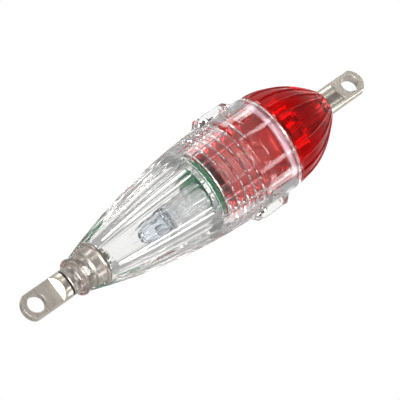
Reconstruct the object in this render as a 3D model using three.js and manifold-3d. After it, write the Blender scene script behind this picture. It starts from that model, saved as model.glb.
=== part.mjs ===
// Drop-shaped underwater fishing lamp, hanging from its line eye.
//
// Millimetres, +Z up. The lamp's axis is Z, and the origin is the centre of the line eye's hole, so
// everything hangs below it. Lengths along the axis are given as depths: the distance below that hole.

import * as THREE from 'three';
import { mergeVertices } from 'three/addons/utils/BufferGeometryUtils.js';
import Module from 'manifold-3d';

// ---- Driving dimensions -------------------------------------------------------------------------

// Metal eyes: a round bar with two milled flats, a cross hole and a rounded tip
const BAR_RADIUS = 3.0;
const TONGUE_THICKNESS = 2.6;
const EYE_HOLE_RADIUS = 1.95;
const HOLE_TO_TIP = 3.0;
const TIP_ROUNDING = 3.45;
const SLOPE_LENGTH = 1.0;

// Line eye and its swivel
const LINE_EYE_FLAT = 5.0;
const LINE_EYE_SHOULDER = 7.35;
const LINE_EYE_TURN = 10;
const STEM_RADIUS = 1.3;
const STEM_END = 18.4;
const RETAINER_TOP = 17.0;
const RETAINER_THICKNESS = 0.6;
const RETAINER_RADIUS = 2.5;
const RETAINER_MOUTH = 1.4;
const STEM_GROOVE_DEPTH = 0.35;
const STEM_GROOVE_PLAY = 0.05;
const WASHER_TOP = 7.45;
const WASHER_THICKNESS = 0.3;
const BARREL_TOP = 7.85;
const BARREL_SHOULDER_END = 10.0;
const BARREL_BODY_RADIUS = 2.8;
const BARREL_GROOVE_RADIUS = 2.4;
const BARREL_GROOVE_DEPTHS = [11.6, 12.0, 13.4, 13.8];
const BARREL_FOOT_RADIUS = 3.4;
const BARREL_FOOT_START = 15.9;
const BARREL_END = 16.6;
const BARREL_BORE = 1.45;
const BARREL_GAP = 0.1;
const STEM_SEAL_RADIUS = 1.8;
const STEM_SEAL_SECTION = 0.33;
const STEM_SEAL_POCKET = [13.6, 14.6];
const STEM_SEAL_POCKET_RADIUS = 2.3;

// Clear housing
const NECK_END = 9.0;
const BEAD_RADIUS = 4.25;
const BEAD_ROUNDING = 1.1;
const OGIVE_START = 11.4;
const BODY_RADIUS = 11.2;
const OGIVE_TANGENT = 54;
const OGIVE_ARC = 131.5;
const RIDGES = 22;
const RIDGE_RELIEF = 0.3;
const FACET_END = 52.4;
const HOUSING_END = 61.9;
const CAVITY_FLOOR = 16.7;
const CAVITY_RADIUS = 5.2;
const CAVITY_TANGENT = 50;
const CAVITY_ARC = 240;
const CAVITY_END = 41.9;
const BOARD_SPACE_RADIUS = 7.9;
const BOARD_LEDGE = 42.2;
const BOARD_RECESS_RADIUS = 8.35;
const BOARD_RECESS_END = 43.5;
const BORE_RADIUS = 9.55;
const LUG_RADIUS = 12.55;
const LUG_WIDTH = 4.6;
const LUG_DEPTHS = [50.05, 51.45, 57.4, 59.1];

// Screw thread between housing and cap, right-handed
const THREAD_PITCH = 2.25;
const THREAD_TURNS = 5;
const THREAD_START = 45.1;
const MALE_CREST = 9.25;
const FEMALE_CREST = 8.85;
const SKIRT_RADIUS = 8.5;
const THREAD_CREST_WIDTH = 0.45;
const THREAD_ROOT_WIDTH = 1.85;
const THREAD_ROOTING = 0.25;

// Light unit: the lamp and its leads stand a little off the axis
const LIGHT_OFFSET = -1.2;
const LIGHT_TURN = 35;
const LED_TIP = 26.5;
const LED_BASE = 33.1;
const LED_RADIUS = 2.5;
const LED_FLANGE_RADIUS = 2.95;
const LED_FLANGE_HEIGHT = 1.0;
const LED_SLOT = { width: 4.3, length: 0.8, top: 29.4 };
const ANVIL_LEAD = { side: -1, headWidth: 1.7, headTop: 29.7 };
const POST_LEAD = { side: 1, headWidth: 1.1, headTop: 30.0 };
const LEAD_HEAD_REACH = 0.3;
const LEAD_HEAD_END = 31.2;
const LEAD_NECK_END = 31.8;
const LEAD_THICKNESS = 0.5;
const LEAD_SPACING = 2.54;
const LEAD_END = 43.7;
const SPACER_RADIUS = 3.2;
const SPACER_BORE = 1.95;
const BOARD_RADIUS = 8.2;
const BOARD_TOP = 42.5;
const BOARD_THICKNESS = 0.8;
const BOARD_HOLE_RADIUS = 0.5;
const SOLDER_GAP = 0.1;
const RING_CONTACT_RADII = [6.25, 7.3];
const RING_CONTACT_THICKNESS = 0.2;
const FLASHER_CHIP = { width: 1.7, length: 3.0, height: 1.1, x: 4.9, y: 0 };
const TIMING_RESISTOR = { width: 0.8, length: 1.6, height: 0.5, x: -4.6, y: 1.6 };
const TIMING_CAPACITOR = { width: 1.25, length: 2.0, height: 1.1, x: -4.6, y: -1.7 };

// Contact spring between the board and the first cell
const SPRING_TURNS = 3;
const SPRING_DEPTHS = [43.65, 45.85];
const SPRING_RADII = [3.1, 1.3];
const SPRING_WIRE = 0.2;

// Battery pack
const CELL_RADIUS = 5.8;
const CELL_HEIGHT = 5.4;
const CELL_COUNT = 3;
const CELL_GAP = 0.05;
const CELL_TOP_CHAMFER = 0.3;
const CELL_CRIMP = 0.4;
const CELL_POLE_RADIUS = 4.9;
const CELL_POLE_HEIGHT = 0.5;
const STACK_TOP = 46.2;
const SLEEVE_RADIUS = 6.3;
const SLEEVE_THICKNESS = 0.3;
const STRIP_TOP = 43.7;
const STRIP_RADIUS = 6.75;
const STRIP_THICKNESS = 0.25;
const STRIP_WIDTH = 3.0;
const STRIP_FOOT_REACH = 3.6;
const STRIP_FOOT_GAP = 0.1;

// Screw cap
const SKIRT_TIP = 43.9;
const PLAIN_START = 57.0;
const PLAIN_RADIUS = 9.3;
const SEAL_GROOVE_START = 60.1;
const SEAL_GROOVE_RADIUS = 7.7;
const DOME_START = 62.05;
const DOME_END = 77.75;
const DOME_RADIUS = 11.05;
const DOME_END_RADIUS = 3.6;
const DOME_POWER = 2.1;
const DOME_RIDGES = 20;
const DOME_RELIEF = 0.35;
const CAP_BORE = 7.05;
const CAP_BORE_END = 63.35;
const NUT_BORE = 4.4;
const NUT_BORE_END = 67.6;
const SHANK_HOLE = 2.0;
const SEAT_DEPTH = 74.6;
const SEAT_RADIUS = 3.15;

// Cap eye
const CAP_EYE_HOLE = 85.8;
const CAP_EYE_FLAT = 3.7;
const CAP_EYE_SHOULDER = 75.5;
const CAP_EYE_TURN = 20;
const SHANK_RADIUS = 1.8;
const SHANK_END = 64.2;
const NUT_DEPTHS = [64.9, 67.5];
const NUT_CORNER_RADIUS = 3.75;
const CONTACT_GAPS = [0.45, 0.1];
const EYE_SEAL_RADIUS = 2.45;
const EYE_SEAL_SECTION = 0.35;
const CAP_SEAL_RADIUS = 8.66;
const CAP_SEAL_SECTION = 0.8;

const SMOOTH = 32;
const FINE = 24;

// ---- Solids -------------------------------------------------------------------------------------

const wasm = await Module();
wasm.setup();

// Puts the faces of a closed geometry the right way out.
function facingOut(geometry) {
  const positions = geometry.attributes.position;
  const index = geometry.index;
  const corner = [new THREE.Vector3(), new THREE.Vector3(), new THREE.Vector3()];
  let volume = 0;
  for (let i = 0; i < index.count; i += 3) {
    corner.forEach((point, k) => point.fromBufferAttribute(positions, index.getX(i + k)));
    volume += corner[0].dot(corner[1].cross(corner[2]));
  }
  if (volume < 0) {
    const flipped = [];
    for (let i = 0; i < index.count; i += 3) {
      flipped.push(index.getX(i), index.getX(i + 2), index.getX(i + 1));
    }
    geometry.setIndex(flipped);
  }
  return geometry;
}

function toSolid(geometry) {
  const bare = geometry.clone();
  bare.deleteAttribute('normal');
  bare.deleteAttribute('uv');
  const merged = facingOut(mergeVertices(bare, 1e-4));
  const vertProperties = new Float32Array(merged.attributes.position.array);
  const triVerts = new Uint32Array(merged.index.array);
  return new wasm.Manifold(new wasm.Mesh({ numProp: 3, vertProperties, triVerts }));
}

function toGeometry(solid) {
  const mesh = solid.getMesh();
  const geometry = new THREE.BufferGeometry();
  geometry.setAttribute('position', new THREE.BufferAttribute(mesh.vertProperties, 3));
  geometry.setIndex(new THREE.BufferAttribute(mesh.triVerts, 1));
  geometry.computeVertexNormals();
  return geometry;
}

// A turned solid. The profile is a list of [radius, depth, relief]: relief is how much lower the
// surface lies at every second segment, which leaves ridges at the others.
function turned(profile, segments = SMOOTH, ridgeAtFront = true) {
  const onAxis = profile[0][0] === 0 && profile.at(-1)[0] === 0;
  const closed = onAxis ? profile : [...profile, profile[0]];
  const points = closed.map(([radius, depth]) => new THREE.Vector2(radius, -depth));
  const geometry = new THREE.LatheGeometry(points, segments);
  const positions = geometry.attributes.position;
  for (let column = 0; column <= segments; column += 1) {
    const inValley = (column % 2 === 1) === ridgeAtFront;
    closed.forEach(([radius, , relief = 0], row) => {
      const i = column * closed.length + row;
      const scale = inValley && relief > 0 ? (radius - relief) / radius : 1;
      positions.setX(i, positions.getX(i) * scale);
      positions.setZ(i, positions.getZ(i) * scale);
    });
  }
  geometry.rotateX(Math.PI / 2);
  return toSolid(geometry);
}

function disc(radius, top, bottom, segments = FINE) {
  return turned([[0, top], [radius, top], [radius, bottom], [0, bottom]], segments);
}

function ring(inner, outer, top, bottom, segments = FINE) {
  return turned([[inner, top], [outer, top], [outer, bottom], [inner, bottom]], segments);
}

function sealRing(centreRadius, sectionRadius, depth, segments = FINE) {
  const sides = 6;
  const profile = Array.from({ length: sides }, (_, k) => {
    const angle = (k / sides) * 2 * Math.PI;
    return [centreRadius + sectionRadius * Math.cos(angle), depth + sectionRadius * Math.sin(angle)];
  });
  return turned(profile, segments);
}

// An outline in the X-Z plane, as [x, depth] points, given a thickness along Y.
function plate(outline, thickness) {
  const shape = new THREE.Shape(outline.map(([x, depth]) => new THREE.Vector2(x, -depth)));
  const geometry = new THREE.ExtrudeGeometry(shape, { depth: thickness, bevelEnabled: false });
  geometry.translate(0, 0, -thickness / 2);
  geometry.rotateX(Math.PI / 2);
  return toSolid(geometry);
}

function block(width, length, top, bottom, x = 0, y = 0) {
  const geometry = new THREE.BoxGeometry(width, length, bottom - top);
  geometry.translate(x, y, -(top + bottom) / 2);
  return toSolid(geometry);
}

function arc(count, from, to, place) {
  return Array.from({ length: count + 1 }, (_, k) => place(from + ((to - from) * k) / count));
}

// A right-handed helical ridge of trapezium section, wide at its root and narrow at its crest.
function threadRidge(rootRadius, crestRadius, startDepth, segmentsPerTurn) {
  const steps = THREAD_TURNS * segmentsPerTurn;
  const vertices = [];
  const faces = [];
  for (let k = 0; k <= steps; k += 1) {
    const angle = -Math.PI / 2 - (k / segmentsPerTurn) * 2 * Math.PI;
    const depth = startDepth + (THREAD_PITCH * k) / segmentsPerTurn;
    const section = [
      [rootRadius, depth - THREAD_ROOT_WIDTH / 2],
      [crestRadius, depth - THREAD_CREST_WIDTH / 2],
      [crestRadius, depth + THREAD_CREST_WIDTH / 2],
      [rootRadius, depth + THREAD_ROOT_WIDTH / 2],
    ];
    section.forEach(([radius, d]) => {
      vertices.push(radius * Math.cos(angle), radius * Math.sin(angle), -d);
    });
  }
  for (let k = 0; k < steps; k += 1) {
    for (let side = 0; side < 4; side += 1) {
      const a = 4 * k + side;
      const b = 4 * k + ((side + 1) % 4);
      faces.push(a, b, b + 4, a, b + 4, a + 4);
    }
  }
  const last = 4 * steps;
  faces.push(0, 2, 1, 0, 3, 2, last, last + 1, last + 2, last, last + 2, last + 3);
  const geometry = new THREE.BufferGeometry();
  geometry.setAttribute('position', new THREE.Float32BufferAttribute(vertices, 3));
  geometry.setIndex(faces);
  return toSolid(geometry);
}

// ---- Line eye and swivel ------------------------------------------------------------------------

// Mills the two flats, the run-out slopes, the tip and the hole into a bar that reaches up to its
// tip at depth -HOLE_TO_TIP, with the hole at depth 0.
function milledEye(bar, flatEnd, farEnd) {
  const half = TONGUE_THICKNESS / 2;
  const wide = BAR_RADIUS + 1;
  const slopeEnd = flatEnd + (SLOPE_LENGTH * (wide - half)) / (BAR_RADIUS - half);
  const side = plate([
    [-half, -HOLE_TO_TIP - 1], [half, -HOLE_TO_TIP - 1], [half, flatEnd], [wide, slopeEnd],
    [wide, farEnd], [-wide, farEnd], [-wide, slopeEnd], [-half, flatEnd],
  ], 4 * BAR_RADIUS).rotate([0, 0, 90]);
  const spread = Math.asin((BAR_RADIUS + 0.1) / TIP_ROUNDING);
  const centre = TIP_ROUNDING - HOLE_TO_TIP;
  const tip = arc(10, -spread, spread, (a) => [
    TIP_ROUNDING * Math.sin(a), centre - TIP_ROUNDING * Math.cos(a),
  ]);
  const front = plate([...tip, [BAR_RADIUS + 0.1, farEnd], [-BAR_RADIUS - 0.1, farEnd]], 4 * BAR_RADIUS);
  const drill = disc(EYE_HOLE_RADIUS, -BAR_RADIUS - 1, BAR_RADIUS + 1).rotate([90, 0, 0]);
  return bar.intersect(side).intersect(front).subtract(drill);
}

function tailEye() {
  const groove = STEM_RADIUS - STEM_GROOVE_DEPTH;
  const grooveTop = RETAINER_TOP - STEM_GROOVE_PLAY;
  const grooveEnd = RETAINER_TOP + RETAINER_THICKNESS + STEM_GROOVE_PLAY;
  const bar = turned([
    [0, -HOLE_TO_TIP], [BAR_RADIUS, -HOLE_TO_TIP], [BAR_RADIUS, LINE_EYE_SHOULDER],
    [STEM_RADIUS, LINE_EYE_SHOULDER], [STEM_RADIUS, grooveTop], [groove, grooveTop], [groove, grooveEnd],
    [STEM_RADIUS, grooveEnd], [STEM_RADIUS, STEM_END - 0.2], [STEM_RADIUS - 0.2, STEM_END], [0, STEM_END],
  ]);
  return milledEye(bar, LINE_EYE_FLAT, STEM_END + 1).rotate([0, 0, LINE_EYE_TURN]);
}

// A clip that snaps into the stem's groove, open on one side.
function stemRetainer() {
  const bottom = RETAINER_TOP + RETAINER_THICKNESS;
  const clip = ring(STEM_RADIUS - 0.2, RETAINER_RADIUS, RETAINER_TOP, bottom);
  const mouth = block(RETAINER_MOUTH, 3, RETAINER_TOP - 1, bottom + 1, 0, 2);
  return clip.subtract(mouth);
}

function swivelBarrel() {
  const body = BARREL_BODY_RADIUS;
  const groove = BARREL_GROOVE_RADIUS;
  const [cut, floor, floorEnd, cutEnd] = BARREL_GROOVE_DEPTHS;
  const [pocketTop, pocketEnd] = STEM_SEAL_POCKET;
  return turned([
    [BARREL_BORE, BARREL_TOP], [BAR_RADIUS - 0.15, BARREL_TOP], [BAR_RADIUS, BARREL_TOP + 0.15],
    [BAR_RADIUS, BARREL_SHOULDER_END], [body, BARREL_SHOULDER_END], [body, cut], [groove, floor],
    [groove, floorEnd], [body, cutEnd], [body, BARREL_FOOT_START], [BARREL_FOOT_RADIUS, BARREL_FOOT_START],
    [BARREL_FOOT_RADIUS, BARREL_END], [BARREL_BORE, BARREL_END], [BARREL_BORE, pocketEnd],
    [STEM_SEAL_POCKET_RADIUS, pocketEnd], [STEM_SEAL_POCKET_RADIUS, pocketTop], [BARREL_BORE, pocketTop],
  ], FINE);
}

// ---- Clear housing ------------------------------------------------------------------------------

function ogive(depth, radius, tangentDepth, arcRadius) {
  const along = tangentDepth - depth;
  return radius - (arcRadius - Math.sqrt(arcRadius ** 2 - along ** 2));
}

function clearHousing() {
  const segments = 2 * RIDGES;
  const beadCentre = NECK_END + BEAD_ROUNDING;
  const bead = arc(4, 0.5, Math.PI, (a) => [
    BEAD_RADIUS - BEAD_ROUNDING + BEAD_ROUNDING * Math.sin(a), beadCentre - BEAD_ROUNDING * Math.cos(a),
  ]).slice(0, -1);
  const outer = arc(7, OGIVE_START, FACET_END - 0.6, (depth) => {
    const relief = depth === OGIVE_START ? 0.05 : RIDGE_RELIEF;
    return [ogive(depth, BODY_RADIUS, OGIVE_TANGENT, OGIVE_ARC), depth, relief];
  });
  const cavity = arc(5, CAVITY_END, CAVITY_FLOOR, (depth) => [
    ogive(depth, CAVITY_RADIUS, CAVITY_TANGENT, CAVITY_ARC), depth,
  ]);
  const mouth = BAR_RADIUS + BARREL_GAP;
  const mouthEnd = BARREL_SHOULDER_END + BARREL_GAP;
  const waist = BARREL_BODY_RADIUS + BARREL_GAP;
  const foot = BARREL_FOOT_RADIUS + BARREL_GAP;
  const footTop = BARREL_FOOT_START - BARREL_GAP;
  const shell = turned([
    [mouth, NECK_END], ...bead, ...outer, [BODY_RADIUS, FACET_END], [BODY_RADIUS, HOUSING_END],
    [BORE_RADIUS + 0.3, HOUSING_END], [BORE_RADIUS, HOUSING_END - 0.3], [BORE_RADIUS, BOARD_RECESS_END],
    [BOARD_RECESS_RADIUS, BOARD_RECESS_END], [BOARD_RECESS_RADIUS, BOARD_LEDGE],
    [BOARD_SPACE_RADIUS, BOARD_LEDGE], [BOARD_SPACE_RADIUS, CAVITY_END], ...cavity,
    [foot, CAVITY_FLOOR], [foot, footTop], [waist, footTop], [waist, mouthEnd], [mouth, mouthEnd],
  ], segments, false);
  const inside = BODY_RADIUS - 0.6;
  const [rise, flat, fall, end] = LUG_DEPTHS;
  const lug = plate([
    [inside, rise], [BODY_RADIUS - 0.05, rise], [LUG_RADIUS, flat], [LUG_RADIUS, fall],
    [BODY_RADIUS - 0.05, end], [inside, end],
  ], LUG_WIDTH);
  const femaleStart = THREAD_START - THREAD_PITCH / 2;
  const thread = threadRidge(BORE_RADIUS + THREAD_ROOTING, FEMALE_CREST, femaleStart, segments);
  return shell.add(lug).add(lug.rotate([0, 0, 180])).add(thread);
}

// ---- Light unit ---------------------------------------------------------------------------------

// Moves a piece from the lamp's own axis to its place beside the housing's axis.
function beside(solid) {
  return solid.rotate([0, 0, LIGHT_TURN]).translate([LIGHT_OFFSET, 0, 0]);
}

function ledLamp() {
  const dome = arc(5, 0, Math.PI / 2, (a) => [
    LED_RADIUS * Math.sin(a), LED_TIP + LED_RADIUS * (1 - Math.cos(a)),
  ]);
  const flangeTop = LED_BASE - LED_FLANGE_HEIGHT;
  const body = turned([
    ...dome, [LED_RADIUS, flangeTop], [LED_FLANGE_RADIUS, flangeTop], [LED_FLANGE_RADIUS, LED_BASE],
    [0, LED_BASE],
  ], FINE);
  return beside(body.subtract(block(LED_SLOT.width, LED_SLOT.length, LED_SLOT.top, LED_BASE + 1)));
}

// A flat lead with a wide head inside the lens: side is -1 or 1 along X.
function ledLead({ side, headWidth, headTop }) {
  const near = LEAD_SPACING / 2 - LEAD_THICKNESS / 2;
  const far = near + LEAD_THICKNESS;
  const headFar = far + LEAD_HEAD_REACH;
  const headNear = headFar - headWidth;
  const outline = [
    [headNear, headTop], [headFar, headTop], [headFar, LEAD_HEAD_END], [far, LEAD_NECK_END],
    [far, LEAD_END], [near, LEAD_END], [near, LEAD_NECK_END], [headNear, LEAD_HEAD_END],
  ];
  return beside(plate(outline.map(([x, depth]) => [side * x, depth]), LEAD_THICKNESS));
}

function circuitBoard() {
  const board = disc(BOARD_RADIUS, BOARD_TOP, BOARD_TOP + BOARD_THICKNESS, SMOOTH);
  const hole = disc(BOARD_HOLE_RADIUS, BOARD_TOP - 1, BOARD_TOP + BOARD_THICKNESS + 1, 12);
  const offset = LEAD_SPACING / 2;
  const holes = hole.translate([offset, 0, 0]).add(hole.translate([-offset, 0, 0]));
  return board.subtract(beside(holes));
}

const chipFoot = BOARD_TOP + BOARD_THICKNESS + SOLDER_GAP;

function chip({ width, length, height, x, y }) {
  return block(width, length, chipFoot, chipFoot + height, x, y);
}

class ConicalCoil extends THREE.Curve {
  getPoint(t) {
    const angle = t * SPRING_TURNS * 2 * Math.PI;
    const radius = THREE.MathUtils.lerp(...SPRING_RADII, t);
    const depth = THREE.MathUtils.lerp(...SPRING_DEPTHS, t);
    return new THREE.Vector3(radius * Math.cos(angle), radius * Math.sin(angle), -depth);
  }
}

function contactSpring() {
  const wire = new THREE.Shape();
  wire.absarc(0, 0, SPRING_WIRE, 0, 2 * Math.PI);
  const options = { steps: 48, curveSegments: 3, bevelEnabled: false, extrudePath: new ConicalCoil() };
  return toSolid(new THREE.ExtrudeGeometry(wire, options));
}

// ---- Battery pack -------------------------------------------------------------------------------

const stackEnd = STACK_TOP + CELL_COUNT * CELL_HEIGHT + (CELL_COUNT - 1) * CELL_GAP;

function batteryCell(number) {
  const top = STACK_TOP + number * (CELL_HEIGHT + CELL_GAP);
  const bottom = top + CELL_HEIGHT;
  const rim = bottom - CELL_POLE_HEIGHT;
  return turned([
    [0, top], [CELL_RADIUS - CELL_TOP_CHAMFER, top], [CELL_RADIUS, top + CELL_TOP_CHAMFER],
    [CELL_RADIUS, rim - CELL_CRIMP], [CELL_RADIUS - CELL_CRIMP, rim], [CELL_POLE_RADIUS, rim],
    [CELL_POLE_RADIUS, bottom], [0, bottom],
  ], FINE);
}

// A strip along the stack's side, with a foot under the last cell.
function negativeStrip() {
  const footTop = stackEnd + STRIP_FOOT_GAP;
  const foot = footTop + STRIP_THICKNESS;
  const inner = STRIP_RADIUS - STRIP_THICKNESS;
  return plate([
    [inner, STRIP_TOP], [STRIP_RADIUS, STRIP_TOP], [STRIP_RADIUS, foot], [STRIP_FOOT_REACH, foot],
    [STRIP_FOOT_REACH, footTop], [inner, footTop],
  ], STRIP_WIDTH).rotate([0, 0, 90]);
}

// ---- Screw cap ----------------------------------------------------------------------------------

function domeRadius(depth) {
  const t = (depth - DOME_START) / (DOME_END - DOME_START);
  return DOME_RADIUS - (DOME_RADIUS - DOME_END_RADIUS) * t ** DOME_POWER;
}

function screwCap() {
  const segments = 2 * DOME_RIDGES;
  const dome = arc(7, DOME_START + 0.6, DOME_END, (depth) => [domeRadius(depth), depth, DOME_RELIEF]);
  const body = turned([
    [CAP_BORE, SKIRT_TIP], [SKIRT_RADIUS - 0.3, SKIRT_TIP], [SKIRT_RADIUS, SKIRT_TIP + 0.3],
    [SKIRT_RADIUS, PLAIN_START], [PLAIN_RADIUS, PLAIN_START + 0.3], [PLAIN_RADIUS, SEAL_GROOVE_START],
    [SEAL_GROOVE_RADIUS, SEAL_GROOVE_START], [SEAL_GROOVE_RADIUS, DOME_START],
    [DOME_RADIUS, DOME_START], ...dome, [SEAT_RADIUS, DOME_END],
    [SEAT_RADIUS, SEAT_DEPTH], [SHANK_HOLE, SEAT_DEPTH], [SHANK_HOLE, NUT_BORE_END],
    [NUT_BORE, NUT_BORE_END], [NUT_BORE, CAP_BORE_END], [CAP_BORE, CAP_BORE_END],
  ], segments);
  const thread = threadRidge(SKIRT_RADIUS - THREAD_ROOTING, MALE_CREST, THREAD_START, segments);
  return body.add(thread);
}

function capEye() {
  const shank = turned([
    [0, -HOLE_TO_TIP], [BAR_RADIUS, -HOLE_TO_TIP], [BAR_RADIUS, CAP_EYE_HOLE - CAP_EYE_SHOULDER],
    [SHANK_RADIUS, CAP_EYE_HOLE - CAP_EYE_SHOULDER], [SHANK_RADIUS, CAP_EYE_HOLE - SHANK_END - 0.3],
    [SHANK_RADIUS - 0.3, CAP_EYE_HOLE - SHANK_END], [0, CAP_EYE_HOLE - SHANK_END],
  ]);
  const upright = milledEye(shank, CAP_EYE_FLAT, CAP_EYE_HOLE - SHANK_END + 1);
  return upright.rotate([180, 0, CAP_EYE_TURN]).translate([0, 0, -CAP_EYE_HOLE]);
}

function capEyeNut() {
  const [top, bottom] = NUT_DEPTHS;
  return disc(NUT_CORNER_RADIUS, top, bottom, 6).subtract(disc(SHANK_HOLE, top - 1, bottom + 1));
}

// ---- Materials ----------------------------------------------------------------------------------

function material(color, roughness, metalness, opacity = 1) {
  return new THREE.MeshStandardMaterial({
    color, roughness, metalness, opacity, transparent: opacity < 1,
  });
}

const nickel = material(0xb4aca0, 0.25, 1);
const steel = material(0x9a9a9c, 0.3, 1);
const brass = material(0xb89a4c, 0.35, 1);
const clearPlastic = material(0xe6e6e2, 0.08, 0, 0.35);
const lensEpoxy = material(0xdfe3e8, 0.05, 0, 0.5);
const redPlastic = material(0xd21418, 0.12, 0, 0.75);
const blackRubber = material(0x1a1a1a, 0.7, 0);
const clearRubber = material(0xe2dcd6, 0.45, 0, 0.7);
const boardGreen = material(0x2e7a48, 0.4, 0);
const chipBlack = material(0x1c1c1e, 0.5, 0);
const chipCeramic = material(0xb8a894, 0.5, 0);
const cellSteel = material(0xc4c2bc, 0.28, 1);
const sleeveFilm = material(0xe9e4da, 0.4, 0, 0.6);

// ---- Assembly -----------------------------------------------------------------------------------

function sub(name, solid, look) {
  const mesh = new THREE.Mesh(toGeometry(solid), look);
  mesh.name = name;
  return mesh;
}

const lineEye = new THREE.Group();
lineEye.add(
  sub('tail_eye', tailEye(), nickel),
  sub('stem_retainer', stemRetainer(), steel),
);

const washerEnd = WASHER_TOP + WASHER_THICKNESS;
const stemSealDepth = (STEM_SEAL_POCKET[0] + STEM_SEAL_POCKET[1]) / 2;
const sleeve = ring(SLEEVE_RADIUS - SLEEVE_THICKNESS, SLEEVE_RADIUS, STACK_TOP + 0.4, stackEnd - 0.2, SMOOTH);

const housing = new THREE.Group();
housing.add(
  sub('clear_housing', clearHousing(), clearPlastic),
  sub('swivel_barrel', swivelBarrel(), nickel),
  sub('swivel_washer', ring(1.5, BAR_RADIUS - 0.25, WASHER_TOP, washerEnd), blackRubber),
  sub('stem_seal', sealRing(STEM_SEAL_RADIUS, STEM_SEAL_SECTION, stemSealDepth), blackRubber),
  sub('led_lamp', ledLamp(), lensEpoxy),
  sub('led_anvil_lead', ledLead(ANVIL_LEAD), steel),
  sub('led_post_lead', ledLead(POST_LEAD), steel),
  sub('led_spacer', beside(ring(SPACER_BORE, SPACER_RADIUS, LED_BASE + 0.3, BOARD_LEDGE)), clearPlastic),
  sub('circuit_board', circuitBoard(), boardGreen),
  sub('flasher_chip', chip(FLASHER_CHIP), chipBlack),
  sub('timing_resistor', chip(TIMING_RESISTOR), chipBlack),
  sub('timing_capacitor', chip(TIMING_CAPACITOR), chipCeramic),
  sub('ring_contact', ring(...RING_CONTACT_RADII, chipFoot, chipFoot + RING_CONTACT_THICKNESS, SMOOTH),
    brass),
  sub('contact_spring', contactSpring(), steel),
);

const batteryPack = new THREE.Group();
for (let number = 0; number < CELL_COUNT; number += 1) {
  batteryPack.add(sub(`battery_cell_${number + 1}`, batteryCell(number), cellSteel));
}
batteryPack.add(
  sub('battery_sleeve', sleeve, sleeveFilm),
  sub('negative_strip', negativeStrip(), brass),
);

const sealDepth = (SEAL_GROOVE_START + DOME_START) / 2;
const capSeal = sealRing(CAP_SEAL_RADIUS, CAP_SEAL_SECTION, sealDepth, 2 * RIDGES);
const capContact = disc(CELL_RADIUS, stackEnd + CONTACT_GAPS[0], CAP_BORE_END - CONTACT_GAPS[1]);
const eyeSeal = sealRing(EYE_SEAL_RADIUS, EYE_SEAL_SECTION, SEAT_DEPTH + 0.45);

const cap = new THREE.Group();
cap.add(
  sub('screw_cap', screwCap(), redPlastic),
  sub('cap_seal', capSeal, clearRubber),
  sub('cap_contact', capContact, steel),
  sub('cap_eye', capEye(), nickel),
  sub('cap_eye_seal', eyeSeal, blackRubber),
  sub('cap_eye_nut', capEyeNut(), brass),
);

const lamp = new THREE.Group();
lamp.add(lineEye, housing, batteryPack, cap);

export default lamp;
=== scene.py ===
"""Drop-shaped underwater fishing lamp: the fine meshes, materials and studio around its CAD frame.

Profiles are written as the CAD model's are: millimetres, with depths measured down the lamp's axis
from the centre of the line eye's hole. Only mesh vertices and object places are in metres.
"""

import math

import bmesh
import bpy
from mathutils import Matrix, Vector


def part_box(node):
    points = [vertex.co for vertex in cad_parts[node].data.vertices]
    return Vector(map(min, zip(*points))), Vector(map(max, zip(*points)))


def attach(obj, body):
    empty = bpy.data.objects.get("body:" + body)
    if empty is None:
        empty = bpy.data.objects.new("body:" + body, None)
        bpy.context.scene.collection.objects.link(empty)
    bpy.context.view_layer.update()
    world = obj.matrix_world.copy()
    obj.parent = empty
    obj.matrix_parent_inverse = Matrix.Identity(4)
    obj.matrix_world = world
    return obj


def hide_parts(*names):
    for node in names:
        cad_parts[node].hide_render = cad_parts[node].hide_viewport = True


MM = 0.001
FRONT = -math.pi / 2

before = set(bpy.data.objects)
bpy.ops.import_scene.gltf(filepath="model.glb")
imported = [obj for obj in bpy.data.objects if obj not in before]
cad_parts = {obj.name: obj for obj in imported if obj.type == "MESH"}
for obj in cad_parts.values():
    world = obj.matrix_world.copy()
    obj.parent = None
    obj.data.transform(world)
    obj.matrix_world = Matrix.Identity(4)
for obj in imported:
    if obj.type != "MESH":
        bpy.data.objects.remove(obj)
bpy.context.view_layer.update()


# ---- Sizes from the frame -------------------------------------------------------------------------

def span(node):
    """The depths of a CAD node's top and bottom, in mm."""
    low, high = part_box(node)
    return -high[2] / MM, -low[2] / MM


def reach(node, axis=0):
    """Half of a CAD node's width along X or Y, in mm."""
    low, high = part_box(node)
    return (high[axis] - low[axis]) / 2 / MM


NECK_END, HOUSING_END = span("clear_housing")
BODY_RADIUS = reach("clear_housing", 1)
LUG_RADIUS = reach("clear_housing", 0)
SKIRT_TIP, DOME_END = span("screw_cap")
DOME_RADIUS = reach("screw_cap", 1)
BARREL_TOP, BARREL_END = span("swivel_barrel")
BAR_RADIUS = 3.0
LED_TIP, LED_BASE = span("led_lamp")
BOARD_TOP, BOARD_END = span("circuit_board")
BOARD_RADIUS = reach("circuit_board")

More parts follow.
